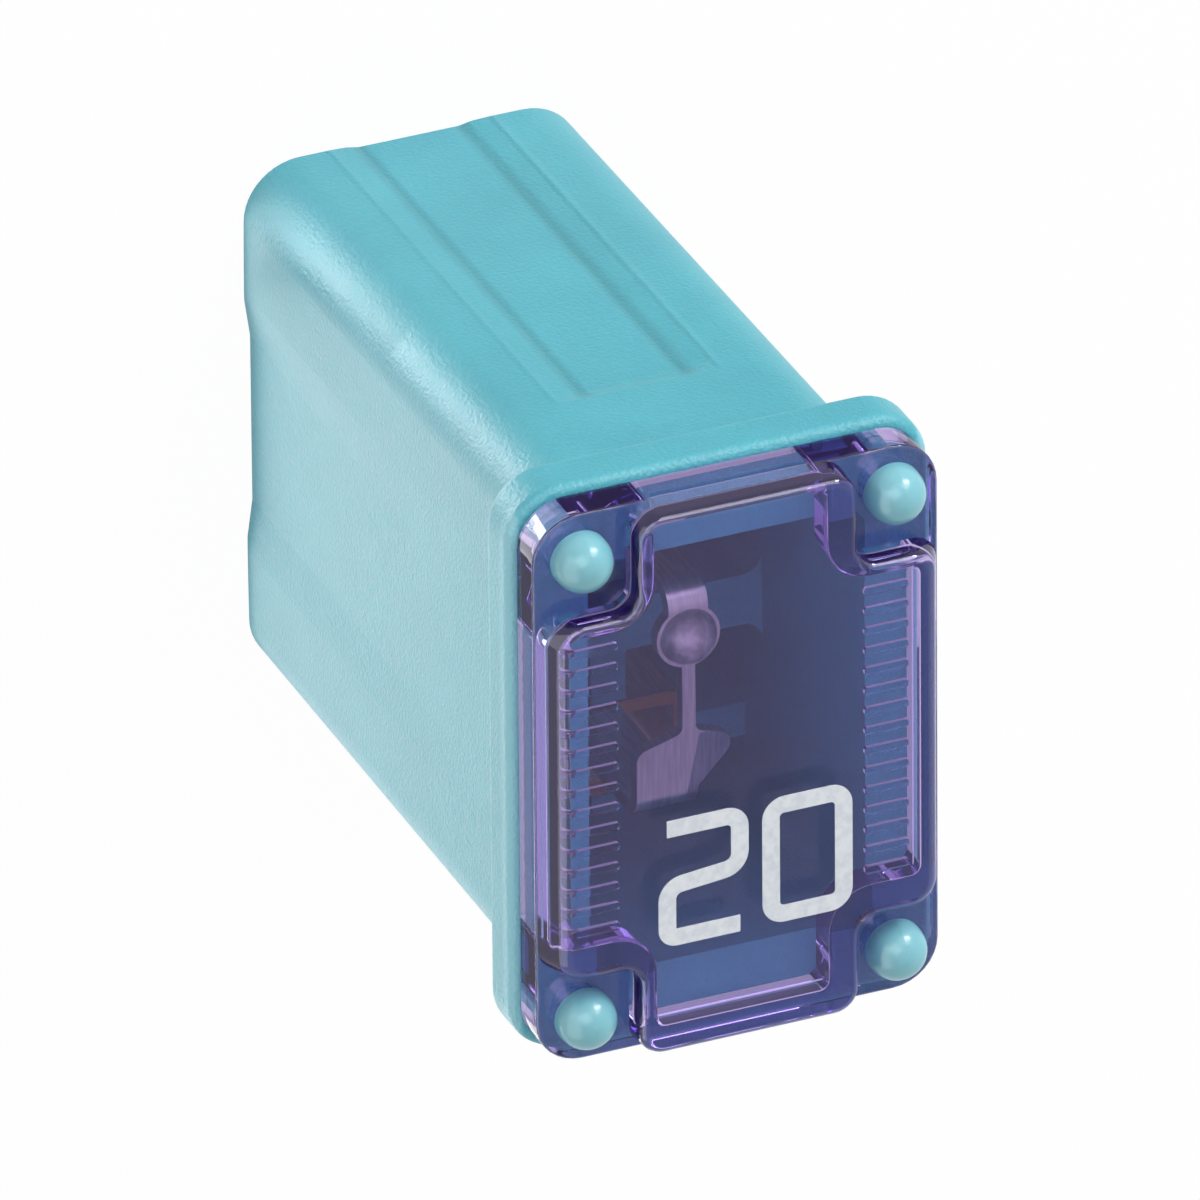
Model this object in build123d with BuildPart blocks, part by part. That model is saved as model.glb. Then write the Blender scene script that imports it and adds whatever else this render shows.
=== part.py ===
"""Micro female fuse: a small cartridge fuse that plugs down onto two flat blades.

Frame: +Z is up, the window faces up and the open rim lies on z = 0. The origin is the centre of
the open rim, X runs along the long side of the window and Y across it. All sizes are millimetres.
"""
import os

from build123d import *

# ---------------------------------------------------------------- driving dimensions
# Housing body, measured at the open rim; the mould draft makes it a little larger at the flange
body_length = 12.26
body_width = 7.74
body_height = 15.3
body_corner = 1.3
draft_x = 0.12            # growth of each X side from rim to flange
draft_y = 0.03            # growth of each Y side from rim to flange
rim_bevel = 0.12          # bevel on the outer edge of the open rim

# Flange plate at the window end
flange_overhang_x = 0.5   # how far it stands out past the body's larger end
flange_overhang_y = 0.9
flange_thickness = 1.2
flange_corner = 1.2
flange_edge = 0.25
flange_root = 0.15        # fillet between the flange's underside and the body

# Shallow relief in the sides
channel_floor = 2.3       # lengthwise channel in each X side: width of its flat floor
channel_slope = 0.72      # width of each sloping bank
channel_depth = 0.14
channel_length = 11.9     # from the rim to where its floor ends
channel_end = 0.45        # length of the sloping end
scoop_floor = 4.0         # scoop in each Y side, deepest at the rim and running out to nothing
scoop_slope = 1.15
scoop_depth = 0.16
scoop_length = 11.5
run_out = 0.005           # depth that is left where a relief runs out

# Inside of the housing
wall_x = 1.18             # thickness of the X walls at the rim
wall_y = 0.72             # thickness of the Y walls at the rim
cavity_corner = 0.45
mouth_chamfer = 0.25      # lead-in round both cavities at the open rim
partition = 1.2           # wall between the two terminal cavities
chamber_depth = 5.4       # open space under the window, down to the partition
rib_width = 0.8           # guide ribs that hold the terminals
ledge_height = 1.0        # stop ledge under each terminal
ledge_gap = 1.2           # from the open rim up to the underside of the stop ledges
ledge_reach = 0.3         # how far the ledge reaches under the terminal

# Window cap
cap_ledge = 0.2           # strip of flange left bare round the cap
cap_corner = 1.05
rim_height = 0.9          # rim of the cap, up to the lands that carry the post heads
window_height = 0.7       # raised window above the lands
window_lean_x = 0.12      # how far the window's sides lean in, at its X ends
window_lean_y = 0.39      # and at its Y sides
notch_x = 2.3             # corner notches, measured in from the ends of the rim
notch_y = 2.1
notch_root = 0.45         # inner corner of a notch
window_corner = 0.55      # outer corners of the window's arms
window_edge = 0.2
window_plate = 0.8        # thickness of the clear plate over the chamber
cap_wall = 0.5            # walls round the hollow under the plate, at the rim and at the notches
hollow_corner = 0.2       # outer corners of the hollow's arms

# Posts and their heat-staked heads
post_inset = 1.05         # from the cap's outer walls to a post's centre, along X and Y
post_diameter = 1.0
post_clearance = 0.05
head_diameter = 1.32
head_stub = 0.15

# Fuse element: stamped from one strip
sheet = 0.3
terminal_gap = 0.45       # between a terminal's outer face and the X wall behind it
blade_width = 2.8
blade_thickness = 0.8
blade_side_play = 0.1     # between the blade's edge and the terminal's side wall
spring_room = 0.7         # room behind the blade for the contact spring
terminal_height = 8.0
terminal_bend = 0.45      # outside radius of the terminal's folds
terminal_play = 0.05      # between a terminal and each guide rib
seam = 0.2                # gap where the folded strip's edges meet
spring_width = 2.2
spring_sheet = 0.25
spring_bite = 0.12        # how far the free spring stands into the blade's space
bridge_rise = 3.1         # underside of the bridge above the partition
bridge_bend = 0.4         # radius of the strip's centre line where it turns into the bridge
neck_width = 0.3
neck_root = 0.2           # radius where the neck flares into the shoulder
shoulder_width = 2.4
shoulder_cut = 1.0        # corner cut off the shoulder, where it meets its riser
pad_riser_width = 0.9     # the riser on the pad's side
pad_diameter = 1.45
shoulder_share = 0.488    # share of the bridge's half length that keeps the full width
shoulder_slope = 0.3      # length over which the shoulder narrows to the neck
shoulder_corner = 0.3     # its rounded outer corners

# Tin pellet on the pad
pellet_diameter = 1.3
pellet_height = 0.5
pellet_radius = ((pellet_diameter / 2) ** 2 + pellet_height**2) / (2 * pellet_height)  # of its dome

# ---------------------------------------------------------------- worked out from the above
top_length = body_length + 2 * draft_x
top_width = body_width + 2 * draft_y
flange_length = top_length + 2 * flange_overhang_x
flange_width = top_width + 2 * flange_overhang_y
flange_top = body_height + flange_thickness
land_z = flange_top + rim_height
window_top = land_z + window_height

inner_length = body_length - 2 * wall_x
inner_width = body_width - 2 * wall_y
partition_top = flange_top - chamber_depth
cavity_length = (inner_length - partition) / 2
cavity_x = (partition + cavity_length) / 2

terminal_width = blade_width + 2 * (blade_side_play + sheet)
terminal_depth = blade_thickness + spring_room + 2 * sheet
terminal_base = ledge_gap + ledge_height
terminal_top = terminal_base + terminal_height
terminal_outer_face = inner_length / 2 - terminal_gap
terminal_inner_face = terminal_outer_face - terminal_depth
terminal_x = (terminal_inner_face + terminal_outer_face) / 2
riser_x = terminal_inner_face + sheet / 2
bridge_end = riser_x - bridge_bend
pad_offset = bridge_end - pellet_diameter / 2
bridge_z = partition_top + bridge_rise
bridge_top = bridge_z + sheet

cap_length = flange_length - 2 * cap_ledge
cap_width = flange_width - 2 * cap_ledge
post_x = cap_length / 2 - post_inset
post_y = cap_width / 2 - post_inset
post_places = [(x * post_x, y * post_y) for x in (1, -1) for y in (1, -1)]


def relief_section(z, turn, face, top_half, floor_half, depth):
    """Sketch one cross-section of a side relief: a shallow tray cut into a face at distance face."""
    outside = face + 1
    with BuildSketch(Plane.XY.offset(z).rotated((0, 0, turn))) as section:
        with BuildLine():
            Polyline(
                (outside, -top_half), (face, -top_half), (face - depth, -floor_half),
                (face - depth, floor_half), (face, top_half), (outside, top_half), close=True,
            )
        make_face()
    return section.sketch


def side_face(half_size, draft, z):
    """Distance from the Z axis to a drafted side of the body at height z."""
    return half_size + draft * z / body_height


def plus_outline(z, length, width, arm_length, arm_width, root, tip):
    """Sketch a plus with rounded corners: one arm length by arm_width, the other arm_length by width."""
    with BuildSketch(Plane.XY.offset(z)) as outline:
        Rectangle(length, arm_width)
        Rectangle(arm_length, width)
        fillet(outline.vertices().sort_by(SortBy.DISTANCE)[:4], root)
        tips = outline.vertices().filter_by(
            lambda v: abs(abs(v.X) - length / 2) < 0.001 or abs(abs(v.Y) - width / 2) < 0.001
        )
        fillet(tips, tip)
    return outline.sketch


# ---------------------------------------------------------------- housing
with BuildPart() as housing:
    # Flange first, while its edges are the only ones to round
    with BuildSketch(Plane.XY.offset(body_height)):
        RectangleRounded(flange_length, flange_width, flange_corner)
    extrude(amount=flange_thickness)
    fillet(housing.edges().group_by(Axis.Z)[0] + housing.edges().group_by(Axis.Z)[-1], flange_edge)

    # Drafted body below it
    with BuildSketch(Plane.XY):
        RectangleRounded(body_length, body_width, body_corner)
    with BuildSketch(Plane.XY.offset(body_height)):
        RectangleRounded(top_length, top_width, body_corner)
    loft()
    chamfer(housing.faces().sort_by(Axis.Z)[0].edges(), rim_bevel)
    root_edges = housing.edges().filter_by_position(
        Axis.Z, body_height - 0.01, body_height + 0.01
    ).filter_by(lambda edge: abs(edge.center().X) < top_length / 2 + 0.01)
    root_edges = root_edges.filter_by(lambda edge: abs(edge.center().Y) < top_width / 2 + 0.01)
    fillet(root_edges, flange_root)

    # Lengthwise channel in each X side: an even floor, then a sloping end
    for turn in (0, 180):
        channel = [
            relief_section(z, turn, side_face(body_length / 2, draft_x, z),
                           channel_floor / 2 + channel_slope, channel_floor / 2, depth)
            for z, depth in (
                (0, channel_depth), (channel_length, channel_depth),
                (channel_length + channel_end, run_out),
            )
        ]
        loft(channel, ruled=True, mode=Mode.SUBTRACT)

    # Scoop in each Y side, which runs out towards the flange
    for turn in (90, 270):
        scoop = [
            relief_section(z, turn, side_face(body_width / 2, draft_y, z),
                           scoop_floor / 2 + scoop_slope, scoop_floor / 2, depth)
            for z, depth in ((0, scoop_depth), (scoop_length, run_out))
        ]
        loft(scoop, ruled=True, mode=Mode.SUBTRACT)

    # Two terminal cavities, open at the rim, and the chamber under the window
    with BuildSketch(Plane.XY):
        with Locations((cavity_x, 0), (-cavity_x, 0)):
            RectangleRounded(cavity_length, inner_width, cavity_corner)
    extrude(amount=partition_top, mode=Mode.SUBTRACT)
    mouth_edges = housing.faces().sort_by(Axis.Z)[0].inner_wires().edges()
    chamfer(mouth_edges, mouth_chamfer)
    with BuildSketch(Plane.XY.offset(partition_top)):
        RectangleRounded(inner_length, inner_width, cavity_corner)
    extrude(amount=chamber_depth, mode=Mode.SUBTRACT)

    # Guide ribs: one from each wall of a cavity to the side of the terminal that it holds
    rib_y = terminal_width / 2 + terminal_play
    rib_outer_x = terminal_outer_face + terminal_play
    rib_inner_x = terminal_inner_face - terminal_play
    overlap = 0.1
    with BuildSketch(Plane.XY.offset(ledge_gap)):
        for side in (1, -1):
            rib_reach = inner_width / 2 - rib_y + overlap
            with Locations((terminal_x, side * (rib_y + rib_reach / 2)),
                           (-terminal_x, side * (rib_y + rib_reach / 2))):
                Rectangle(rib_width, rib_reach)
            outer_reach = inner_length / 2 - rib_outer_x + overlap
            with Locations((side * (rib_outer_x + outer_reach / 2), 0)):
                Rectangle(outer_reach, rib_width)
            inner_reach = rib_inner_x - partition / 2 + overlap
            with Locations((side * (rib_inner_x - inner_reach / 2), 0)):
                Rectangle(inner_reach, rib_width)
    extrude(amount=terminal_top - ledge_gap)

    # Stop ledges: the foot of each Y rib reaches under the terminal's side wall
    with BuildSketch(Plane.XY.offset(ledge_gap)):
        ledge_length = terminal_play + ledge_reach + overlap
        ledge_y = rib_y + overlap - ledge_length / 2
        with Locations(*[(x * terminal_x, y * ledge_y) for x in (1, -1) for y in (1, -1)]):
            Rectangle(rib_width, ledge_length)
    extrude(amount=ledge_height)

    # Posts with their domed heads
    head_radius = head_diameter / 2
    for x, y in post_places:
        with BuildSketch(Plane.XZ.offset(-y)):
            with BuildLine():
                Polyline(
                    (x, flange_top - overlap), (x + post_diameter / 2, flange_top - overlap),
                    (x + post_diameter / 2, land_z), (x + head_radius, land_z),
                    (x + head_radius, land_z + head_stub),
                )
                CenterArc((x, land_z + head_stub), head_radius, 0, 90)
                Line((x, land_z + head_stub + head_radius), (x, flange_top - overlap))
            make_face()
        revolve(axis=Axis((x, y, 0), (0, 0, 1)))
housing.part.label = "housing"

# ---------------------------------------------------------------- window cap
with BuildPart() as window_cap:
    # Raised window: a plus whose outer sides lean in, so that a flat land is left at each corner
    arm_length = cap_length - 2 * notch_x
    arm_width = cap_width - 2 * notch_y
    outlines = [
        plus_outline(land_z, cap_length, cap_width, arm_length, arm_width, notch_root, window_corner),
        plus_outline(window_top, cap_length - 2 * window_lean_x, cap_width - 2 * window_lean_y,
                     arm_length, arm_width, notch_root, window_corner),
    ]
    loft(outlines, ruled=True)
    fillet(window_cap.faces().sort_by(Axis.Z)[-1].edges(), window_edge)

    # Rim under it, which sits on the flange
    with BuildSketch(Plane.XY.offset(flange_top)):
        RectangleRounded(cap_length, cap_width, cap_corner)
    extrude(amount=rim_height)

    # Hollow under the plate, a smaller plus with even walls, and the four holes for the posts
    hollow = plus_outline(flange_top, cap_length - 2 * cap_wall, cap_width - 2 * cap_wall,
                          arm_length - 2 * cap_wall, arm_width - 2 * cap_wall,
                          notch_root + cap_wall, hollow_corner)
    extrude(hollow, amount=window_top - window_plate - flange_top, mode=Mode.SUBTRACT)
    with Locations(*[(x, y, land_z) for x, y in post_places]):
        Hole(post_diameter / 2 + post_clearance, depth=rim_height)
window_cap.part.label = "window_cap"

# ---------------------------------------------------------------- fuse element
with BuildPart() as fuse_element:
    # Box terminal on the +X side: a strip folded round the blade, with a seam in its outer wall
    with BuildSketch(Plane.XY.offset(terminal_base)):
        with Locations((terminal_x, 0)):
            RectangleRounded(terminal_depth, terminal_width, terminal_bend)
            RectangleRounded(terminal_depth - 2 * sheet, terminal_width - 2 * sheet,
                             terminal_bend - sheet, mode=Mode.SUBTRACT)
        with Locations((terminal_outer_face - sheet / 2, 0)):
            Rectangle(2 * sheet, seam, mode=Mode.SUBTRACT)
    extrude(amount=terminal_height)

    # Contact spring: a bowed tongue that presses the blade against the terminal's inner wall
    blade_face = terminal_inner_face + sheet + blade_thickness
    spring_foot = terminal_outer_face - sheet
    spring_crest = blade_face - spring_bite + spring_sheet / 2
    with BuildSketch(Plane.XZ):
        with BuildLine():
            ThreePointArc(
                (spring_foot, terminal_base + 0.1 * terminal_height),
                (spring_crest, terminal_base + 0.45 * terminal_height),
                (spring_foot, terminal_base + 0.8 * terminal_height),
            )
        trace(line_width=spring_sheet)
    extrude(amount=spring_width / 2, both=True)

    mirror(about=Plane.YZ)

    # Risers: each inner wall carries on upwards and turns into the bridge
    riser_width = shoulder_width - shoulder_cut
    for side, width, centre in ((1, pad_riser_width, 0), (-1, riser_width, shoulder_cut / 2)):
        with BuildSketch(Plane.XZ.offset(width / 2 - centre)):
            with BuildLine():
                FilletPolyline(
                    (side * riser_x, terminal_top - sheet), (side * riser_x, bridge_z + sheet / 2),
                    (side * (bridge_end - bridge_bend / 2), bridge_z + sheet / 2),
                    radius=bridge_bend,
                )
            trace(line_width=sheet)
        extrude(amount=-width)

    # Bridge: shoulder, neck and round pad, cut from the same sheet
    shoulder_x = shoulder_slope - (1 - shoulder_share) * bridge_end
    shoulder_side = shoulder_width / 2
    with BuildSketch(Plane.XY.offset(bridge_z)):
        with BuildLine():
            Polyline(
                (-bridge_end, shoulder_cut - shoulder_side),
                (shoulder_x - shoulder_slope, -shoulder_side),
                (shoulder_x, -neck_width / 2), (pad_offset, -neck_width / 2),
                (pad_offset, neck_width / 2), (shoulder_x, neck_width / 2),
                (shoulder_x - shoulder_slope, shoulder_side), (-bridge_end, shoulder_side),
                close=True,
            )
        make_face()
        fillet(vertices().filter_by(lambda v: abs(v.X - shoulder_x) < 0.001), neck_root)
        corner_x = shoulder_x - shoulder_slope
        fillet(vertices().filter_by(lambda v: abs(v.X - corner_x) < 0.001), shoulder_corner)
        with Locations((pad_offset, 0)):
            Circle(pad_diameter / 2)
        with Locations((bridge_end + pad_diameter / 2, 0)):
            Rectangle(pad_diameter, pad_diameter, mode=Mode.SUBTRACT)
    extrude(amount=sheet)
fuse_element.part.label = "fuse_element"

# ---------------------------------------------------------------- tin pellet
with BuildPart() as tin_pellet:
    with Locations((pad_offset, 0, bridge_top + pellet_height - pellet_radius)):
        Sphere(pellet_radius)
    split(bisect_by=Plane.XY.offset(bridge_top))
tin_pellet.part.label = "tin_pellet"

# ---------------------------------------------------------------- output
os.makedirs("parts", exist_ok=True)
for piece in (housing, window_cap, fuse_element, tin_pellet):
    export_step(piece.part, f"parts/{piece.part.label}.step")
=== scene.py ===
# %% [markdown]
# # A micro female fuse, dressed in Blender
# The solid model comes in as a frame that is already in the right place and size. These cells stand it
# on a white table, light it, and give each piece the finish of the real one: a moulded teal housing,
# a clear violet window, a tin-plated strip with its bead of tin, and a rating printed in white ink.

# %% Load the frame
import math
import bpy
import bmesh
from mathutils import Matrix, Vector


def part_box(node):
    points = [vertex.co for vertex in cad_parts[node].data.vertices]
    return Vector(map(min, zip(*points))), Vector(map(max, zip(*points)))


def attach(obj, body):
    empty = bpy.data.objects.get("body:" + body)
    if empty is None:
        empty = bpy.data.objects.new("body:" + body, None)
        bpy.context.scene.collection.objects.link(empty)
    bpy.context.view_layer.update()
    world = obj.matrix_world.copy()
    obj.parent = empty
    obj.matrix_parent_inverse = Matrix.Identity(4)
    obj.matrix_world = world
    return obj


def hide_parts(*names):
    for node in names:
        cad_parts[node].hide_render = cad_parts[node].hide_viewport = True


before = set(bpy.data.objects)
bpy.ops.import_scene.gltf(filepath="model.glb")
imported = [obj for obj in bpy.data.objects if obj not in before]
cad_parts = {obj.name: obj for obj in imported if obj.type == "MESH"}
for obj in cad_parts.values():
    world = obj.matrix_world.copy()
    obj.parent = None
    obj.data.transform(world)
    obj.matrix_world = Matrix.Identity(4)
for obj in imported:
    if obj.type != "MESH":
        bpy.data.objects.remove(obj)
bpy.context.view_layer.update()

print("pieces of the solid model:", sorted(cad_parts))

# %% [markdown]
# ## Three small helpers
# Sizes below are written in millimetres, because the whole fuse is only 18 mm high, and `MM` turns
# them into Blender's metres. Colours are written the way a paint program shows them, as sRGB hex
# values, and `linear` turns them into the light values that the renderer works with. `new_material`
# starts a material with nothing in it, and `add_node` puts one node into it, with its settings and what
# is plugged into it, so each material reads as a list.

# %% Helpers
MM = 0.001


def linear(hex_colour):
    """Turn an sRGB hex colour such as "#49AEBB" into linear RGBA."""
    channels = [int(hex_colour[i:i + 2], 16) / 255 for i in (1, 3, 5)]
    return [c / 12.92 if c <= 0.04045 else ((c + 0.055) / 1.055) ** 2.4 for c in channels] + [1.0]


def add_node(tree, kind, settings=None):
    """Add a node. Settings name its properties and inputs, each with a value or an output to link."""
    node = tree.nodes.new(kind)
    for name, value in (settings or {}).items():
        if isinstance(value, bpy.types.NodeSocket):
            tree.links.new(value, node.inputs[name])
        elif isinstance(name, str) and hasattr(node, name):
            setattr(node, name, value)
        else:
            node.inputs[name].default_value = value
    return node


def new_material(name):
    """Make an empty node material and return it with its node tree and output node."""
    material = bpy.data.materials.new(name)
    material.use_nodes = True
    material.node_tree.nodes.clear()
    output = add_node(material.node_tree, "ShaderNodeOutputMaterial")
    return material, material.node_tree, output


print("teal in linear light:", [round(c, 3) for c in linear("#49AEBB")])

# %% [markdown]
# ## Camera
# The fuse is seen from a high corner with a very long lens, so its edges stay almost parallel, and the
# camera is rolled until the window's long side stands upright in the picture. A camera is easiest to
# read as an aim point, two angles, a distance and a roll, so the cell builds it from those.

# %% Camera
AIM = Vector((-4.060, -2.759, 3.681)) * MM
AZIMUTH, ELEVATION, ROLL = (math.radians(a) for a in (124.640, 53.130, 138.725))
DISTANCE = 704.06 * MM
LENS, SENSOR = 990.44, 36.0

towards_camera = Vector((
    math.sin(AZIMUTH) * math.cos(ELEVATION),
    -math.cos(AZIMUTH) * math.cos(ELEVATION),
    math.sin(ELEVATION),
))
camera = bpy.data.objects.new("camera", bpy.data.cameras.new("camera"))
camera.data.sensor_width = SENSOR
camera.data.lens = LENS
camera.data.clip_start = 0.05
camera.data.clip_end = 20.0
level = (-towards_camera).to_track_quat("-Z", "Y").to_matrix().to_4x4()
camera.matrix_world = (
    Matrix.Translation(AIM + towards_camera * DISTANCE) @ level @ Matrix.Rotation(ROLL, 4, "Z")
)
bpy.context.scene.collection.objects.link(camera)
bpy.context.scene.camera = camera
print("camera stands at", [round(v, 4) for v in camera.location])

# %% [markdown]
# ## Table and background
# The fuse stands on a plain white sweep. The table is a matt white surface, so it takes the fuse's
# shadow and throws light back at it. Wherever the camera, a reflection or the clear window looks at it,
# nearly all that they see is plain white light of its own, so the shadow there is very pale.

# %% Table
TABLE_RADIUS = 600 * MM
OWN_LIGHT = 0.97


def looked_at(tree):
    """Return an output that is 1 where the camera, a reflection or clear plastic looks, else 0."""
    path = add_node(tree, "ShaderNodeLightPath").outputs
    direct = add_node(tree, "ShaderNodeMath",
                      {"operation": "MAXIMUM", 0: path["Is Camera Ray"], 1: path["Is Glossy Ray"]})
    seen = add_node(tree, "ShaderNodeMath",
                    {"operation": "MAXIMUM", 0: direct.outputs[0], 1: path["Is Transmission Ray"]})
    return seen.outputs[0]


table_mesh = bpy.data.meshes.new("table")
builder = bmesh.new()
bmesh.ops.create_circle(builder, cap_ends=True, segments=96, radius=TABLE_RADIUS)
builder.to_mesh(table_mesh)
builder.free()
table = bpy.data.objects.new("table", table_mesh)
bpy.context.scene.collection.objects.link(table)

paper, tree, output = new_material("matt_white_paper")
share = add_node(tree, "ShaderNodeMath", {"operation": "MULTIPLY", 0: looked_at(tree), 1: OWN_LIGHT})
matt = add_node(tree, "ShaderNodeBsdfDiffuse", {"Color": linear("#F4F4F4")})
white = add_node(tree, "ShaderNodeEmission", {"Color": linear("#FFFFFF"), "Strength": 1.0})
mixed = add_node(tree, "ShaderNodeMixShader",
                 {"Fac": share.outputs[0], 1: matt.outputs[0], 2: white.outputs[0]})
tree.links.new(mixed.outputs[0], output.inputs["Surface"])
table.data.materials.append(paper)
print("table radius:", TABLE_RADIUS, "m")

# %% [markdown]
# ## Light
# A pale room gives an even base light. It is white where the camera, a reflection or the clear window
# looks at it, and greyer where it lights the fuse. One large soft box stands low in front of a narrow
# side, so that side is well lit while little light falls down through the window, which keeps the
# chamber deep. A smaller lamp adds the sharp glints that clear plastic and smooth domes show.

# %% World and lamps
ROOM_LIGHT = 0.64
MIDDLE = Vector((0, 0, 9)) * MM

world = bpy.data.worlds.new("pale_room")
world.use_nodes = True
world.node_tree.nodes.clear()
tree = world.node_tree
room = add_node(tree, "ShaderNodeBackground", {"Color": linear("#FFFFFF"), "Strength": ROOM_LIGHT})
backdrop = add_node(tree, "ShaderNodeBackground", {"Color": linear("#FFFFFF"), "Strength": 1.0})
mixed = add_node(tree, "ShaderNodeMixShader",
                 {"Fac": looked_at(tree), 1: room.outputs[0], 2: backdrop.outputs[0]})
add_node(tree, "ShaderNodeOutputWorld", {"Surface": mixed.outputs[0]})
bpy.context.scene.world = world
bpy.context.scene.view_settings.view_transform = "Standard"


def soft_box(name, azimuth, elevation, distance_mm, size_mm, brightness):
    """Add a square lamp that faces the fuse; brightness 1 lights a facing white card fully."""
    a, e = math.radians(azimuth), math.radians(elevation)
    direction = Vector((math.cos(a) * math.cos(e), math.sin(a) * math.cos(e), math.sin(e)))
    lamp = bpy.data.objects.new(name, bpy.data.lights.new(name, "AREA"))
    lamp.data.shape = "SQUARE"
    lamp.data.size = size_mm * MM
    lamp.data.energy = brightness * (math.pi * distance_mm * MM) ** 2
    lamp.location = MIDDLE + direction * distance_mm * MM
    lamp.rotation_mode = "QUATERNION"
    lamp.rotation_quaternion = direction.to_track_quat("Z", "Y")
    bpy.context.scene.collection.objects.link(lamp)
    print(name, "energy", round(lamp.data.energy, 3), "W")


soft_box("key_box", azimuth=-28, elevation=30, distance_mm=300, size_mm=160, brightness=0.41)
soft_box("glint", azimuth=-38, elevation=18, distance_mm=260, size_mm=44, brightness=0.26)

# %% [markdown]
# Some lamps only need to be seen in reflections, as the reflectors in a studio are. Two lie on the
# table on the fuse's lit side: the grained plastic picks them up as a pale sheen on its wide side and
# as a sparkling line along one rounded corner. One more lies where the cap's own corner mirrors it. A
# standing sheet whitens the flange, and a panel in front whitens the domed post heads.

# %% Reflectors
def reflector(name, centre_mm, size_mm, strength, turn=0.0, facing=None):
    """Add a glowing panel that shows only in reflections; strength 1 is white. It lies face up."""
    panel = bpy.data.objects.new(name, bpy.data.lights.new(name, "AREA"))
    panel.data.shape = "RECTANGLE"
    panel.data.size, panel.data.size_y = (side * MM for side in size_mm)
    panel.data.energy = strength * math.pi * panel.data.size * panel.data.size_y
    panel.location = Vector(centre_mm) * MM
    panel.rotation_euler = (math.pi, 0, math.radians(turn))
    if facing is not None:
        panel.rotation_euler = (panel.location - Vector(facing) * MM).to_track_quat("Z", "Y").to_euler()
    panel.visible_camera = False
    panel.visible_diffuse = False
    bpy.context.scene.collection.objects.link(panel)
    print(name, "energy", round(panel.data.energy, 5), "W")


reflector("side_panel", (-8, 17, 0.05), (40, 26), strength=2.0)
reflector("corner_panel", (9.7, 11.4, 0.05), (13.5, 3.6), strength=6.8, turn=59.5)
reflector("cap_corner_panel", (14.0, 17.5, 0.05), (8, 8), strength=12, turn=59.5)
reflector("side_sheet", (-10, 110, 60), (240, 120), strength=1.7, facing=(0, 0, 14))
reflector("front_panel", towards_camera * 300, (200, 200), strength=2.5, facing=(0, 0, 18))

# %% [markdown]
# Clear plastic shows whatever lies behind it, and on a white table its edges would vanish. So grey
# cards go where the clear edges look through to the table, and above, where the flat window mirrors
# the room. One more card, a narrow strip on the table, makes the darker line between the sheen on the
# wide side and the sparkle along the rounded corner. The cards are seen only in reflections and
# through the window.

# %% Grey cards
def grey_card(name, centre_mm, size_mm, brightness, turn=0.0, facing=None):
    """Add a card of even grey that only reflections and clear plastic show. It lies face up."""
    half_x, half_y = (side * MM / 2 for side in size_mm)
    mesh = bpy.data.meshes.new(name)
    mesh.from_pydata([(-half_x, -half_y, 0), (half_x, -half_y, 0), (half_x, half_y, 0),
                      (-half_x, half_y, 0)], [], [(0, 1, 2, 3)])
    card = bpy.data.objects.new(name, mesh)
    card.location = Vector(centre_mm) * MM
    card.rotation_euler = (0, 0, math.radians(turn))
    if facing is not None:
        card.rotation_euler = (Vector(facing) * MM - card.location).to_track_quat("Z", "Y").to_euler()
    card.visible_camera = card.visible_diffuse = card.visible_shadow = False
    board, tree, output = new_material(name + "_board")
    even = add_node(tree, "ShaderNodeEmission", {"Color": linear("#FFFFFF"), "Strength": brightness})
    tree.links.new(even.outputs[0], output.inputs["Surface"])
    card.data.materials.append(board)
    bpy.context.scene.collection.objects.link(card)
    print(name, "brightness", brightness)


grey_card("edge_card", (-17, -8, 0.1), (16, 15), brightness=0.08)
grey_card("long_edge_card", (-11, 12.4, 0.1), (15, 3.2), brightness=0.35)
grey_card("short_edge_card", (18, -9, 0.1), (12, 24), brightness=0.15)
grey_card("corner_card", (1.9, 10.4, 0.1), (12, 2.5), brightness=0.4, turn=115.6)
mirrored = Vector((-towards_camera.x, -towards_camera.y, towards_camera.z))
grey_card("window_card", Vector((0, 0, 18)) + mirrored * 110, (70, 70), brightness=0.6, facing=(0, 0, 18))

# %% [markdown]
# ## Housing: moulded teal PBT
# The body is injection-moulded PBT, a tough polyester. The mould is spark-eroded, so the surface has a
# fine, even grain that breaks the shine into tiny sparkles, and the colour runs right through the
# plastic with only a faint cloudiness. The real grain is about 0.03 mm, which is finer than a picture
# of the whole fuse can show, so it is drawn at 0.09 mm. Noise makes both patterns: the clouds become
# shades of teal, and the grain becomes tiny specks and changes of roughness.

# %% Teal colour and grain
GRAIN, CLOUD = 0.09, 2.5
FROM_NOISE = {"From Min": 0.3, "From Max": 0.7}  # most values of a noise pattern lie in here

teal_pbt, tree, output = new_material("teal_moulded_pbt")
place = add_node(tree, "ShaderNodeTexCoord").outputs["Object"]
cloud = add_node(tree, "ShaderNodeTexNoise",
                 {"Vector": place, "Scale": 1 / (CLOUD * MM), "Detail": 3.0}).outputs["Fac"]
grain = add_node(tree, "ShaderNodeTexNoise", {"Vector": place, "Scale": 1 / (GRAIN * MM),
                                              "Detail": 2.0, "Roughness": 0.6}).outputs["Fac"]
shade = add_node(tree, "ShaderNodeValToRGB", {"Fac": cloud})
shade.color_ramp.elements[0].position = 0.3
shade.color_ramp.elements[0].color = linear("#46A3B3")
shade.color_ramp.elements[1].position = 0.7
shade.color_ramp.elements[1].color = linear("#4BABBA")
speck = add_node(tree, "ShaderNodeMapRange", {**FROM_NOISE, "Value": grain, "To Min": 0.94, "To Max": 1.06})
body = add_node(tree, "ShaderNodeVectorMath",
                {"operation": "SCALE", 0: shade.outputs["Color"], "Scale": speck.outputs["Result"]})
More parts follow.
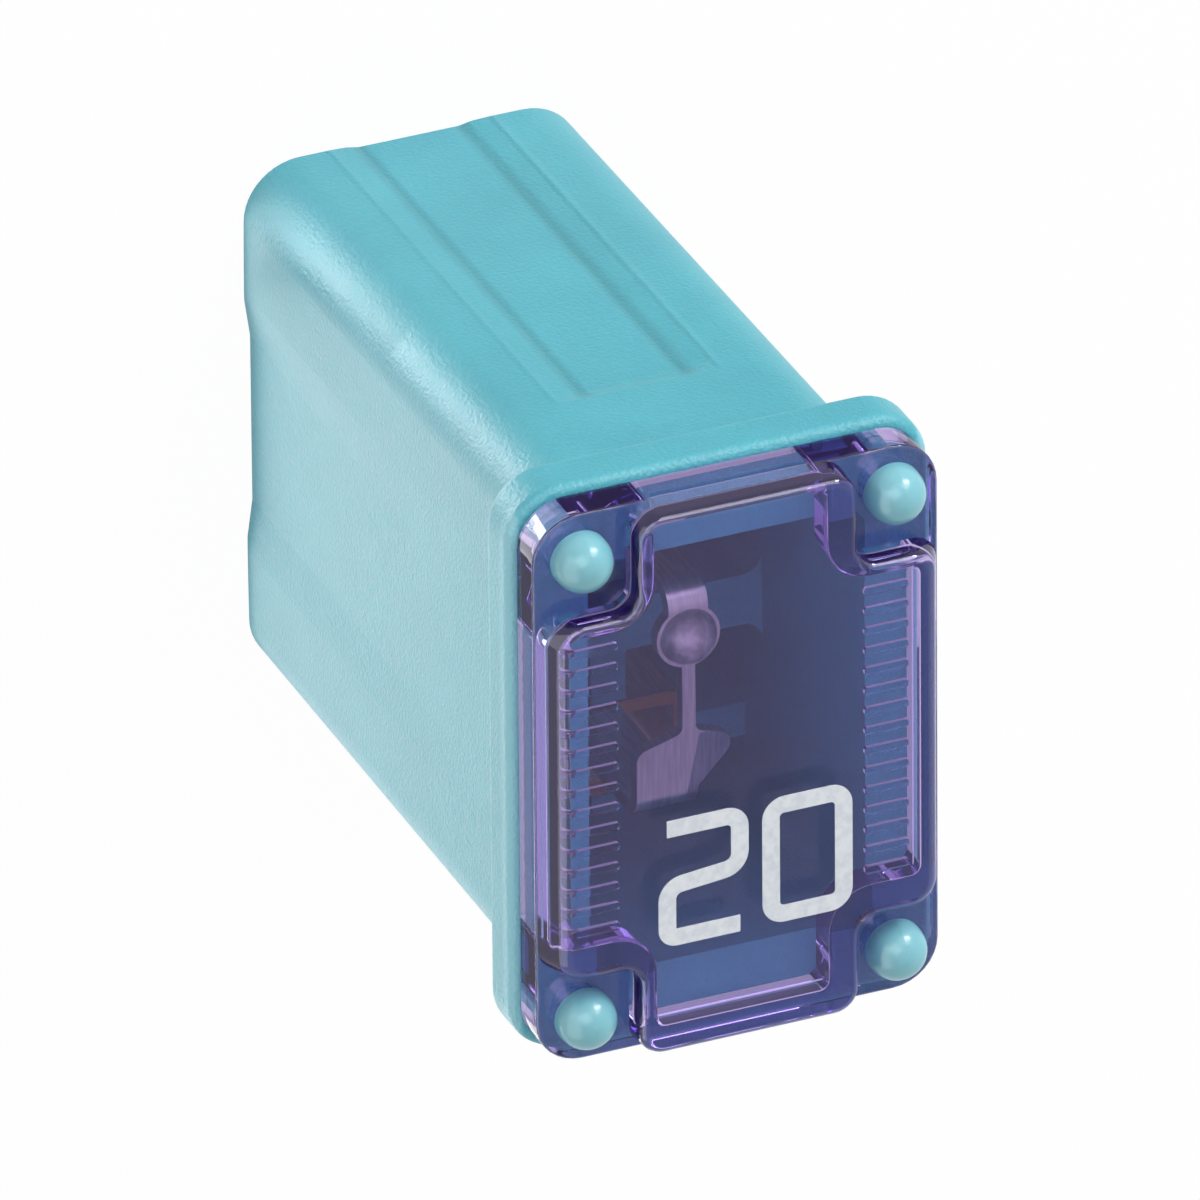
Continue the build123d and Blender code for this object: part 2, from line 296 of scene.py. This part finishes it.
gloss = add_node(tree, "ShaderNodeMapRange", {**FROM_NOISE, "Value": grain, "To Min": 0.36, "To Max": 0.50})
print("grain", GRAIN, "mm, clouds", CLOUD, "mm")

# %% [markdown]
# The four post heads were formed by a hot tool that melted the grain away, so everything above the
# lands of the cap is smoother. The heads are also painted a paler teal, a painted sheen that stands in
# for their whitish shine. `grained` fades from 1 on the body to 0 on the heads, and carries roughness,
# colour and relief across.

# %% Melted post heads and their painted sheen
GRAIN_ENDS, HEADS_BEGIN = 17.2, 17.4
GRAIN_RELIEF, HEAD_RELIEF, RELIEF_DEPTH = 0.65, 0.05, 0.04
HEAD_ROUGHNESS = 0.25

axes = add_node(tree, "ShaderNodeSeparateXYZ", {"Vector": place}).outputs
grained = add_node(tree, "ShaderNodeMapRange",
                   {"Value": axes["Z"], "From Min": GRAIN_ENDS * MM, "From Max": HEADS_BEGIN * MM,
                    "To Min": 1.0, "To Max": 0.0}).outputs["Result"]
gloss = add_node(tree, "ShaderNodeMapRange",
                 {"Value": grained, "To Min": HEAD_ROUGHNESS, "To Max": gloss.outputs["Result"]})
# Painted sheen: above the lands the colour is mixed towards a paler teal that stands in for the heads'
# shine.
body = add_node(tree, "ShaderNodeMix",
                {"data_type": "RGBA", 0: grained, 6: linear("#7ABBC7"), 7: body.outputs[0]})
relief = add_node(tree, "ShaderNodeMath",
                  {"operation": "MULTIPLY_ADD", 0: grained, 1: GRAIN_RELIEF, 2: HEAD_RELIEF})
bump = add_node(tree, "ShaderNodeBump",
                {"Height": grain, "Strength": relief.outputs[0], "Distance": RELIEF_DEPTH * MM})
print("the grain fades out from", GRAIN_ENDS, "to", HEADS_BEGIN, "mm")

# %% [markdown]
# At the feet of the channel's sloping banks there is a fine, soft line that is a little sunken, and a faint
# raised line where each bank meets the side; these are relief. Along the sunken line the colour is also
# darkened, which is painted shade in the crease. Both are drawn from the distance to the middle of the
# side, on the two narrow sides only.

# %% Lines and painted crease shade along the side channels
CHANNEL_FOOT, CHANNEL_EDGE, SPAN = 1.15, 1.87, 3.0
SIDE_BEGINS, SIDE_FADE = 5.85, 0.05
LINES_FADE, LINES_STOP = 12.1, 12.4
FLAT, LINE_DEPTH, LINE_SHADE = 0.5, 0.08, 0.82

across = add_node(tree, "ShaderNodeMath", {"operation": "ABSOLUTE", 0: axes["Y"]}).outputs[0]
outward = add_node(tree, "ShaderNodeMath", {"operation": "ABSOLUTE", 0: axes["X"]}).outputs[0]
on_side = add_node(tree, "ShaderNodeMapRange", {"Value": outward, "From Min": SIDE_BEGINS * MM,
                                                "From Max": (SIDE_BEGINS + SIDE_FADE) * MM})
below_stop = add_node(tree, "ShaderNodeMapRange",
                      {"Value": axes["Z"], "From Min": LINES_STOP * MM, "From Max": LINES_FADE * MM})
where = add_node(tree, "ShaderNodeMath", {"operation": "MULTIPLY", 0: on_side.outputs["Result"],
                                          1: below_stop.outputs["Result"]})
from_middle = add_node(tree, "ShaderNodeMapRange", {"Value": across, "From Max": SPAN * MM})
profile = add_node(tree, "ShaderNodeValToRGB", {"Fac": from_middle.outputs["Result"]})
profile.color_ramp.interpolation = "EASE"
# Distances from the middle in mm, each with a height: under FLAT is sunken, and over it is raised
stops = [(CHANNEL_FOOT - 0.22, FLAT), (CHANNEL_FOOT + 0.02, 0.0), (CHANNEL_FOOT + 0.30, FLAT),
         (CHANNEL_EDGE - 0.12, FLAT), (CHANNEL_EDGE, 0.8), (CHANNEL_EDGE + 0.15, FLAT)]
for distance, height in stops:
    stop = profile.color_ramp.elements.new(distance / SPAN)
    stop.color = (height, height, height, 1.0)
for end in (profile.color_ramp.elements[0], profile.color_ramp.elements[-1]):
    end.color = (FLAT, FLAT, FLAT, 1.0)
line = add_node(tree, "ShaderNodeMix", {"data_type": "FLOAT", 0: where.outputs[0], 2: FLAT,
                                        3: profile.outputs["Color"]}).outputs[0]
bump = add_node(tree, "ShaderNodeBump", {"Height": line, "Strength": 1.0, "Distance": LINE_DEPTH * MM,
                                         "Normal": bump.outputs["Normal"]})
# Painted shade: the colour is darkened where the line is sunken, down to LINE_SHADE at the foot of each
# bank.
painted_shade = add_node(tree, "ShaderNodeMapRange",
                {"Value": line, "From Max": FLAT, "To Min": LINE_SHADE, "To Max": 1.0})
body = add_node(tree, "ShaderNodeVectorMath",
                {"operation": "SCALE", 0: body.outputs[2], "Scale": painted_shade.outputs["Result"]})
print("lines run", CHANNEL_FOOT, "and", CHANNEL_EDGE, "mm from the middle of each narrow side")

# %% [markdown]
# The rounded long edges of the flange, on its two wide sides, are painted a paler teal: a painted sheen
# that stands in for the light these edges catch.

# %% Painted sheen on the long flange edges
SHEEN_OUT, OUT_FADE = 4.5, 0.1
SHEEN_UP, UP_FADE = 16.0, 0.35

near_edge = add_node(tree, "ShaderNodeMapRange", {"Value": across, "From Min": SHEEN_OUT * MM,
                                                  "From Max": (SHEEN_OUT + OUT_FADE) * MM})
near_top = add_node(tree, "ShaderNodeMapRange", {"Value": axes["Z"], "From Min": SHEEN_UP * MM,
                                                 "From Max": (SHEEN_UP + UP_FADE) * MM})
on_flange = add_node(tree, "ShaderNodeMath", {"operation": "MULTIPLY", 0: near_edge.outputs["Result"],
                                              1: near_top.outputs["Result"]})
painted_sheen = add_node(tree, "ShaderNodeMath", {"operation": "MULTIPLY", 0: on_flange.outputs[0], 1: grained})
# Painted sheen: the long flange edges are mixed towards a paler teal, except on the melted heads.
body = add_node(tree, "ShaderNodeMix",
                {"data_type": "RGBA", 0: painted_sheen.outputs[0], 6: body.outputs[0], 7: linear("#7FC5D2")})
print("rubbed beyond", SHEEN_OUT, "mm from the middle and above", SHEEN_UP, "mm")

# %% [markdown]
# Colour, roughness and relief now meet in one shader. PBT bends light a little more than window glass
# does, so its shine is a little stronger.

# %% Housing finish
surface = add_node(tree, "ShaderNodeBsdfPrincipled",
                   {"Base Color": body.outputs[2], "Roughness": gloss.outputs["Result"], "IOR": 1.57,
                    "Normal": bump.outputs["Normal"]})
tree.links.new(surface.outputs[0], output.inputs["Surface"])


def dress(node_name, material):
    """Give a piece of the solid model its material."""
    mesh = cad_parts[node_name].data
    mesh.materials.clear()
    mesh.materials.append(material)
    print(node_name, "is now", material.name)


dress("housing", teal_pbt)

# %% [markdown]
# ## Outlines with rounded corners
# The window, its hollow and the printed digits are all straight runs joined by small arcs. One helper
# turns a list of corners and radii into such a line. An outline that closes on itself is used for the
# solid pieces, and an open one for the strokes of the digits.

# %% Rounded lines
def rounded_line(corners, radii, closed=False, steps=8):
    """Return 2-D points along straight runs whose corners are rounded by arcs of the given radii."""
    points = []
    for i, corner in enumerate(corners):
        here = Vector(corner)
        if not closed and i in (0, len(corners) - 1):
            points.append(here)
            continue
        before = (Vector(corners[i - 1]) - here).normalized()
        after = (Vector(corners[(i + 1) % len(corners)]) - here).normalized()
        half = before.angle(after) / 2
        centre = here + (before + after).normalized() * radii[i] / math.sin(half)
        start = here + before * radii[i] / math.tan(half) - centre
        sweep = (math.pi - 2 * half) * (1 if before.cross(after) < 0 else -1)
        for step in range(steps + 1):
            points.append(centre + Matrix.Rotation(sweep * step / steps, 2) @ start)
    return points


corner_test = rounded_line([(0, 0), (1, 0), (1, 1)], [0, 0.3, 0])
print("a rounded corner has", len(corner_test) - 2, "points")

# %% [markdown]
# ## Window cap: the shape
# The cap is a rim with a raised plus-shaped window on it and a hollow underneath. Clear plastic shows
# every edge twice, once on its surface and once through it, so the mesh is built from lofted rings
# with truly rounded edges instead of leaving the rounding to shading. It sits a hair above the flange
# and inside the post heads, because a clear piece needs a real film of air round it: where two
# surfaces share one plane, light can't find its way between them and the plastic turns black.

# %% Cap sizes
cap_low, cap_high = (Vector(corner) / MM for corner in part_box("window_cap"))
CAP_LENGTH, CAP_WIDTH = cap_high.x - cap_low.x, cap_high.y - cap_low.y
AIR, WINDOW_RISE = 0.02, 0.7
SEAT, TOP = cap_low.z + AIR, cap_high.z
LAND = TOP - WINDOW_RISE - AIR / 2
print("cap:", [round(size, 2) for size in (CAP_LENGTH, CAP_WIDTH, SEAT, LAND, TOP)], "mm")

# %% [markdown]
# A loft stacks closed rings, each with the same number of points, joins each ring to the next by a band
# of faces, and fills in the lowest and the highest. All the rings of one piece come from one outline, so
# their points line up.

# %% Rings and lofts
def ring(corners, radii, z):
    """Return a closed outline in millimetres as 3-D points in metres at height z."""
    return [Vector((x, y, z)) * MM for x, y in rounded_line(corners, radii, closed=True)]


def rectangle(length, width):
    """Corners of a rectangle about the Z axis, counter-clockwise."""
    x, y = length / 2, width / 2
    return [(x, y), (-x, y), (-x, -y), (x, -y)]


def loft(name, rings):
    """Join closed rings, listed from the bottom up, into a solid object."""
    builder = bmesh.new()
    loops = [[builder.verts.new(point) for point in points] for points in rings]
    for lower, upper in zip(loops, loops[1:]):
        for i in range(len(lower)):
            j = (i + 1) % len(lower)
            builder.faces.new((lower[i], lower[j], upper[j], upper[i]))
    builder.faces.new(reversed(loops[0]))
    builder.faces.new(loops[-1])
    mesh = bpy.data.meshes.new(name)
    builder.to_mesh(mesh)
    builder.free()
    solid = bpy.data.objects.new(name, mesh)
    bpy.context.scene.collection.objects.link(solid)
    return solid


corner_points = len(ring(rectangle(2, 2), [0.5] * 4, 0)) // 4
print("a ring has", corner_points, "points round each corner")

# %% [markdown]
# The rim comes first. Its upper edge is barely broken, as moulded edges are. `edge_steps` follows a
# quarter circle and says how far each ring is drawn in and how far it lies below the flat top.

# %% Cap rim
RIM_CORNER, RIM_EDGE, RIM_FOOT = 1.05, 0.07, 0.04


def edge_steps(radius, steps=4):
    """Inset and drop of each ring that rounds a top edge, from its foot to the flat top."""
    angles = [math.pi / 2 * step / steps for step in range(steps + 1)]
    return [(radius * (1 - math.cos(a)), radius * (1 - math.sin(a))) for a in angles]


foot = rectangle(CAP_LENGTH - 2 * RIM_FOOT, CAP_WIDTH - 2 * RIM_FOOT)
rim_rings = [ring(foot, [RIM_CORNER - RIM_FOOT] * 4, SEAT)]
rim_rings.append(ring(rectangle(CAP_LENGTH, CAP_WIDTH), [RIM_CORNER] * 4, SEAT + RIM_FOOT))
for inset, drop in edge_steps(RIM_EDGE):
    corners = rectangle(CAP_LENGTH - 2 * inset, CAP_WIDTH - 2 * inset)
    rim_rings.append(ring(corners, [RIM_CORNER - inset] * 4, LAND - drop))
cap = loft("window", rim_rings)
print("rim:", len(cap.data.vertices), "points")

# %% [markdown]
# The raised window is a plus. Its four outer sides lean in towards the top, while the walls of the
# corner notches stand upright, so each ring is a slightly smaller plus than the one below. An exact
# Boolean then joins it to the rim, because a clear piece shows every face left inside it.

# %% Raised window
NOTCH_X, NOTCH_Y = 2.3, 2.1
ARM_X, ARM_Y = CAP_LENGTH / 2 - NOTCH_X, CAP_WIDTH / 2 - NOTCH_Y
LEAN_X, LEAN_Y = 0.12, 0.39
ROOT, TIP, EDGE = 0.45, 0.55, 0.20
SUNK = 0.1  # the plus starts inside the rim, so that the two overlap


def plus_ring(z, reach_x, reach_y, arm_x, arm_y, root, tip, inset=0.0):
    """A ring round a plus at height z, drawn in by inset: its sides at reach, its notches at arm."""
    x_out, y_out, x_in, y_in = (place - inset for place in (reach_x, reach_y, arm_x, arm_y))
    corners, radii = [], []
    for sx, sy in ((1, 1), (-1, 1), (-1, -1), (1, -1)):
        quarter = [(sx * x_out, sy * y_in), (sx * x_in, sy * y_in), (sx * x_in, sy * y_out)]
        corners += quarter if sx * sy > 0 else quarter[::-1]
        radii += [tip - inset, root + inset, tip - inset]
    return ring(corners, radii, z)


def combine(solid, tool, operation):
    """Join a tool to a solid, or cut it away, and use the tool up."""
    change = solid.modifiers.new("combine", "BOOLEAN")
    change.operation = operation
    change.object = tool
    change.solver = "EXACT"
    graph = bpy.context.evaluated_depsgraph_get()
    mesh = bpy.data.meshes.new_from_object(solid.evaluated_get(graph))
    solid.modifiers.clear()
    solid.data = mesh
    bpy.data.objects.remove(tool)


plus_rings = []
for z, inset in [(LAND - SUNK, 0)] + [(TOP - drop, inset) for inset, drop in edge_steps(EDGE)]:
    rise = max(0.0, (z - LAND) / (TOP - LAND))
    plus_rings.append(plus_ring(z, CAP_LENGTH / 2 - LEAN_X * rise, CAP_WIDTH / 2 - LEAN_Y * rise,
                                ARM_X, ARM_Y, ROOT, TIP, inset))
combine(cap, loft("plus", plus_rings), "UNION")
print("rim and window:", len(cap.data.polygons), "faces")

# %% [markdown]
# The hollow under the plate is a smaller plus, so that the walls are equally thick everywhere, as they
# are in any good moulding: plastic of one thickness cools evenly and stays flat. The four holes for
# the posts are cut through the corners. Every tool reaches past what it cuts. The real cap also has
# small raised marks along both long edges of the hollow; here each is a plain row of short ribs on the
# underside of the plate.

# %% Hollow, post holes and ribs
PLATE, WALL, HOLLOW_CORNER, HOLLOW_EDGE = 0.8, 0.5, 0.25, 0.06
POST_X, POST_Y, POST_HOLE = 5.5, 3.55, 0.55
RIB_WIDTH, RIB_LENGTH, RIB_DEPTH, RIB_CORNER = 0.18, 1.0, 0.10, 0.06
RIB_PITCH, RIB_COUNT, RIB_Y = 0.48, 15, 3.30
PAST = 1.0

ceiling = TOP - PLATE
hollow_rings = []
for z, inset in [(SEAT - PAST, 0)] + [(ceiling - drop, inset) for inset, drop in edge_steps(HOLLOW_EDGE)]:
    hollow_rings.append(plus_ring(z, CAP_LENGTH / 2 - WALL, CAP_WIDTH / 2 - WALL,
                                  ARM_X - WALL, ARM_Y - WALL, ROOT + WALL, HOLLOW_CORNER, inset))
hollow = loft("hollow", hollow_rings)
for row in range(RIB_COUNT):
    x = (row - (RIB_COUNT - 1) / 2) * RIB_PITCH
    for side in (1, -1):
        corners = [(x + dx, side * RIB_Y + dy) for dx, dy in rectangle(RIB_WIDTH, RIB_LENGTH)]
        rib = loft("rib", [ring(corners, [RIB_CORNER] * 4, z) for z in (ceiling - RIB_DEPTH, TOP)])
        combine(hollow, rib, "DIFFERENCE")
combine(cap, hollow, "DIFFERENCE")
hole_corner = POST_HOLE - 0.001  # a hair under half the square, so its straight runs keep a length
for x in (POST_X, -POST_X):
    for y in (POST_Y, -POST_Y):
        square = [(x + dx, y + dy) for dx, dy in rectangle(2 * POST_HOLE, 2 * POST_HOLE)]
        hole = loft("hole", [ring(square, [hole_corner] * 4, z) for z in (SEAT - PAST, LAND + PAST)])
        combine(cap, hole, "DIFFERENCE")
print("hollow and", 2 * RIB_COUNT, "ribs cut:", len(cap.data.polygons), "faces")

# %% [markdown]
# The small faces of a rounded edge are shaded as one smooth curve, and the flat faces stay flat. An
# edge that turns by more than 32 degrees is marked sharp, and the normals follow the larger faces.

# %% Smooth edges
def crisp(piece, angle=32):
    """Smooth a piece's rounded edges and keep its flat faces flat."""
    shaper = bmesh.new()
    shaper.from_mesh(piece.data)
    bmesh.ops.recalc_face_normals(shaper, faces=shaper.faces)
    for face in shaper.faces:
        face.smooth = True
    for edge in shaper.edges:
        edge.smooth = len(edge.link_faces) == 2 and edge.calc_face_angle() < math.radians(angle)
    shaper.to_mesh(piece.data)
    shaper.free()
    piece.modifiers.new("flat faces", "WEIGHTED_NORMAL").keep_sharp = True


crisp(cap)
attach(cap, "root")
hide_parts("window_cap")
print("finished cap:", len(cap.data.polygons), "faces")

# %% [markdown]
# ## Window cap: clear violet polycarbonate
# The cap is clear polycarbonate with a violet dye in it. The dye works by depth: a thin plate is pale
# and a long look through an edge is deep violet, so the colour belongs in the volume and not on the
# surface. The surface itself is highly polished, with a very faint ripple from the mould. The dye
# scatters a little light too, which shows as a faint violet haze where the plastic looks black behind.

# %% Violet window material
DYE_PER_MM = 1.0
HAZE = 0.04
RIPPLE = 1.6

violet_pc, tree, output = new_material("clear_violet_polycarbonate")
place = add_node(tree, "ShaderNodeTexCoord").outputs["Object"]
ripple = add_node(tree, "ShaderNodeTexNoise", {"Vector": place, "Scale": 1 / (RIPPLE * MM), "Detail": 1.0})
bump = add_node(tree, "ShaderNodeBump",
                {"Height": ripple.outputs["Fac"], "Strength": 0.05, "Distance": 0.05 * MM})
clear = add_node(tree, "ShaderNodeBsdfPrincipled",
                 {"Base Color": linear("#FFFFFF"), "Roughness": 0.02, "IOR": 1.58,
                  "Transmission Weight": 1.0, "Normal": bump.outputs["Normal"]})
haze = add_node(tree, "ShaderNodeBsdfDiffuse",
                {"Color": linear("#7645CC"), "Normal": bump.outputs["Normal"]})
skin = add_node(tree, "ShaderNodeMixShader", {"Fac": HAZE, 1: clear.outputs[0], 2: haze.outputs[0]})
dye = add_node(tree, "ShaderNodeVolumeAbsorption",
               {"Color": linear("#D0BAEF"), "Density": DYE_PER_MM / MM})
tree.links.new(skin.outputs[0], output.inputs["Surface"])
tree.links.new(dye.outputs[0], output.inputs["Volume"])
cap.data.materials.clear()
cap.data.materials.append(violet_pc)
absorbed = [(1 - c) * DYE_PER_MM for c in dye.inputs["Color"].default_value[:3]]
print("dye absorbs", [round(a, 2) for a in absorbed], "per mm in red, green and blue")

# %% [markdown]
# ## Fuse element: tin-plated copper alloy
# The element is stamped from rolled copper alloy and tin-plated. Tin plate is a soft, bright grey
# metal; rolling leaves faint lines along the strip, about 0.06 mm apart, that stretch its highlights.
# The strip is plated before it is stamped, so the cut rims of the terminals show the bare copper.
# Those rims are what faces straight up below the bridge.

# %% Element colour and rolling lines
ROLLING_LINE, ALONG_STRIP = 0.06, 0.08
BARE_BELOW, STRAIGHT_UP = 14.0, 0.9

tin_plate, tree, output = new_material("tin_plated_copper_alloy")
place = add_node(tree, "ShaderNodeTexCoord").outputs
stretch = add_node(tree, "ShaderNodeMapping",
                   {"Vector": place["Object"], "Scale": (ALONG_STRIP, 1.0, ALONG_STRIP)})
rolled = add_node(tree, "ShaderNodeTexNoise",
                  {"Vector": stretch.outputs["Vector"], "Scale": 1 / (ROLLING_LINE * MM),
                   "Detail": 2.0}).outputs["Fac"]
tone = add_node(tree, "ShaderNodeValToRGB", {"Fac": rolled})
tone.color_ramp.elements[0].position = 0.3
tone.color_ramp.elements[0].color = linear("#D6D2CE")
tone.color_ramp.elements[1].position = 0.7
tone.color_ramp.elements[1].color = linear("#EEEBE7")
axes = add_node(tree, "ShaderNodeSeparateXYZ", {"Vector": place["Object"]}).outputs
facing = add_node(tree, "ShaderNodeSeparateXYZ", {"Vector": place["Normal"]}).outputs
up = add_node(tree, "ShaderNodeMath", {"operation": "GREATER_THAN", 0: facing["Z"], 1: STRAIGHT_UP})
low = add_node(tree, "ShaderNodeMath", {"operation": "LESS_THAN", 0: axes["Z"], 1: BARE_BELOW * MM})
bare = add_node(tree, "ShaderNodeMath", {"operation": "MULTIPLY", 0: up.outputs[0], 1: low.outputs[0]})
metal = add_node(tree, "ShaderNodeMix", {"data_type": "RGBA", 0: bare.outputs[0],
                                         6: tone.outputs["Color"], 7: linear("#EE9A58")})
gloss = add_node(tree, "ShaderNodeMapRange",
                 {**FROM_NOISE, "Value": rolled, "To Min": 0.30, "To Max": 0.45})
bump = add_node(tree, "ShaderNodeBump", {"Height": rolled, "Strength": 0.2, "Distance": 0.01 * MM})
print("bare copper shows below", BARE_BELOW, "mm")

# %% [markdown]
# One wing of the bridge is creased a little downwards past a line across it, so its outer part mirrors
# a darker part of the room. Seen through the window the bend changes no outline, so it is drawn as
# relief: a height that falls steadily with the distance past the line.

# %% Creased wing
CREASE_SLANT, CREASE_START, CREASE_DROP = 0.21, 0.42, 0.36
WING_BEGINS = -0.9

along = add_node(tree, "ShaderNodeVectorMath", {"operation": "DOT_PRODUCT", 0: place["Object"],
                                                1: (-CREASE_SLANT, -1.0, 0.0)})
signed = add_node(tree, "ShaderNodeMath",
                  {"operation": "SUBTRACT", 0: along.outputs["Value"], 1: CREASE_START * MM})
past_line = add_node(tree, "ShaderNodeMath", {"operation": "MAXIMUM", 0: signed.outputs[0], 1: 0.0})
beside = add_node(tree, "ShaderNodeMath", {"operation": "LESS_THAN", 0: axes["X"], 1: WING_BEGINS * MM})
high = add_node(tree, "ShaderNodeMath", {"operation": "SUBTRACT", 0: 1.0, 1: low.outputs[0]})
on_wing = add_node(tree, "ShaderNodeMath",
                   {"operation": "MULTIPLY", 0: beside.outputs[0], 1: high.outputs[0]})
crease = add_node(tree, "ShaderNodeMath",
                  {"operation": "MULTIPLY", 0: past_line.outputs[0], 1: on_wing.outputs[0]})
fold = add_node(tree, "ShaderNodeMath", {"operation": "MULTIPLY", 0: crease.outputs[0], 1: -CREASE_DROP})
bump = add_node(tree, "ShaderNodeBump", {"Height": fold.outputs[0], "Strength": 1.0, "Distance": 1.0,
                                         "Normal": bump.outputs["Normal"]})
print("the wing falls", CREASE_DROP, "mm in each mm past its crease")

# %% [markdown]
# Colour, roughness and relief meet in one shader again. On a metal the base colour tints the
# reflections, since a metal has no colour under its shine.

# %% Element finish
surface = add_node(tree, "ShaderNodeBsdfPrincipled",
                   {"Base Color": metal.outputs[2], "Metallic": 1.0,
                    "Roughness": gloss.outputs["Result"], "Normal": bump.outputs["Normal"]})
tree.links.new(surface.outputs[0], output.inputs["Surface"])
dress("fuse_element", tin_plate)

# %% [markdown]
# ## Tin pellet
# The bead on the pad is cast tin. As it set it took a slightly lumpy skin, so its shine is broken up
# by soft dents about 0.3 mm across.

# %% Tin material
DENT = 0.3

cast_tin, tree, output = new_material("cast_tin")
place = add_node(tree, "ShaderNodeTexCoord").outputs["Object"]
dents = add_node(tree, "ShaderNodeTexNoise",
                 {"Vector": place, "Scale": 1 / (DENT * MM), "Detail": 3.0}).outputs["Fac"]
tone = add_node(tree, "ShaderNodeValToRGB", {"Fac": dents})
tone.color_ramp.elements[0].position = 0.35
tone.color_ramp.elements[0].color = linear("#BDB8B5")
tone.color_ramp.elements[1].position = 0.65
tone.color_ramp.elements[1].color = linear("#E8E4E0")
bump = add_node(tree, "ShaderNodeBump", {"Height": dents, "Strength": 0.5, "Distance": 0.08 * MM})
surface = add_node(tree, "ShaderNodeBsdfPrincipled",
                   {"Base Color": tone.outputs["Color"], "Metallic": 1.0, "Roughness": 0.6,
                    "Normal": bump.outputs["Normal"]})
tree.links.new(surface.outputs[0], output.inputs["Surface"])
dress("tin_pellet", cast_tin)

# %% [markdown]
# ## The printed rating
# The rating is pad-printed on the window in white ink, in a squared style with one even stroke and
# rounded corners. Each digit is drawn as a centre line of straight runs and arcs, widened into a thin
# ribbon of ink. It reads across the window, with its top towards the tin pellet.

# %% Digits
STROKE, INK, INK_GAP = 0.40, 0.02, 0.002
DIGIT_WIDTH, DIGIT_HEIGHT = 1.66, 2.63
DIGIT_TOP = -1.02


def ink_line(name, left, corners, radii, closed):
    """Print one stroke. Its corners run right and down from the digit's upper left, from 0 to 1."""
    places = [(left - u * DIGIT_WIDTH, DIGIT_TOP - v * DIGIT_HEIGHT) for u, v in corners]
    centre = rounded_line(places, radii, closed)
    count = len(centre)
    builder = bmesh.new()
    rails = []
    for i, point in enumerate(centre):
        ahead = centre[(i + 1) % count] if closed or i < count - 1 else point
        behind = centre[i - 1] if closed or i > 0 else point
        along = (ahead - behind).normalized()
        aside = Vector((-along.y, along.x)) * STROKE / 2
        rails.append([
            builder.verts.new(Vector((spot.y, spot.x, z)) * MM)
            for spot in (point + aside, point - aside) for z in (TOP + INK_GAP, TOP + INK)
        ])
    for i in range(count if closed else count - 1):
        (a, b, c, d), (e, f, g, h) = rails[i], rails[(i + 1) % count]
        for face in ((b, f, h, d), (a, c, g, e), (a, e, f, b), (c, d, h, g)):
            builder.faces.new(face)
    if not closed:
        for a, b, c, d in (rails[0], rails[-1]):
            builder.faces.new((a, b, d, c))
    bmesh.ops.recalc_face_normals(builder, faces=builder.faces)
    mesh = bpy.data.meshes.new(name)
    builder.to_mesh(mesh)
    builder.free()
    stroke = bpy.data.objects.new(name, mesh)
    bpy.context.scene.collection.objects.link(stroke)
    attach(stroke, "root")
    return stroke


two = ink_line("digit_two", left=1.92,
               corners=[(0, 0), (1, 0), (1, 0.47), (0, 0.53), (0, 1), (1, 1)],
               radii=[0, 0.30, 0.38, 0.36, 0.22, 0], closed=False)
zero = ink_line("digit_zero", left=-0.45,
                corners=[(0, 0), (1, 0), (1, 1), (0, 1)], radii=[0.30] * 4, closed=True)
print("digits stand at", round(TOP, 2), "mm and are", INK, "mm thick")

# %% [markdown]
# The ink is a matt white with a faint blue-grey cast. Pad printing lays it on a little unevenly, which
# shows as soft clouds about 0.2 mm across.

# %% White ink material
PATCH = 0.2

white_ink, tree, output = new_material("white_pad_print_ink")
place = add_node(tree, "ShaderNodeTexCoord").outputs["Object"]
patchy = add_node(tree, "ShaderNodeTexNoise",
                  {"Vector": place, "Scale": 1 / (PATCH * MM), "Detail": 4.0}).outputs["Fac"]
tone = add_node(tree, "ShaderNodeValToRGB", {"Fac": patchy})
tone.color_ramp.elements[0].position = 0.35
tone.color_ramp.elements[0].color = linear("#D0D6DF")
tone.color_ramp.elements[1].position = 0.6
tone.color_ramp.elements[1].color = linear("#DFE4E9")
bump = add_node(tree, "ShaderNodeBump", {"Height": patchy, "Strength": 0.3, "Distance": 0.01 * MM})
surface = add_node(tree, "ShaderNodeBsdfPrincipled",
                   {"Base Color": tone.outputs["Color"], "Roughness": 0.55,
                    "Normal": bump.outputs["Normal"]})
tree.links.new(surface.outputs[0], output.inputs["Surface"])
for digit in (two, zero):
    digit.data.materials.append(white_ink)
print("ink on", two.name, "and", zero.name)
